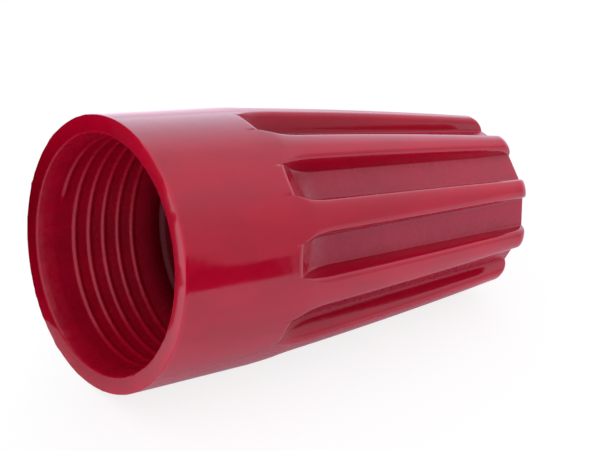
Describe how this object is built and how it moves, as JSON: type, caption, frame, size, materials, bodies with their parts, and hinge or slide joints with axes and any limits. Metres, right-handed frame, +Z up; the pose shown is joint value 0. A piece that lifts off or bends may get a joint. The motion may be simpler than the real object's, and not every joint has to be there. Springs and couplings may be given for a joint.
{
  "type": "wire connector",
  "caption": "Tapered twist-on wire connector: a ribbed plastic shell with a threaded open mouth, closed at its narrow end, and a conical coil spring inside that grips stripped wires.",
  "frame": {"origin": "centre of the closed end's flat face, on the barrel's axis", "axes": "+Y runs along the barrel's axis and out of the closed end, so the open mouth faces -Y; +Z is up and +X is to the right seen from the mouth, with the connector lying on its side"},
  "size_m": [0.0158, 0.0284, 0.0158],
  "materials": {
    "shell_plastic": "glossy red moulded thermoplastic, duller and finely textured on the flute floors and the closed end",
    "spring_steel": "drawn square steel wire, bright zinc plated"
  },
  "bodies": {
    "shell": {"shell": "shell_plastic"},
    "spring": {"coil_spring": "spring_steel"}
  },
  "joints": [
    {"name": "spring_turn", "type": "hinge", "parent": "shell", "child": "spring", "pos_m": [0, 0, 0], "axis": [0, 1, 0], "range_deg": [0, 20]}
  ]
}
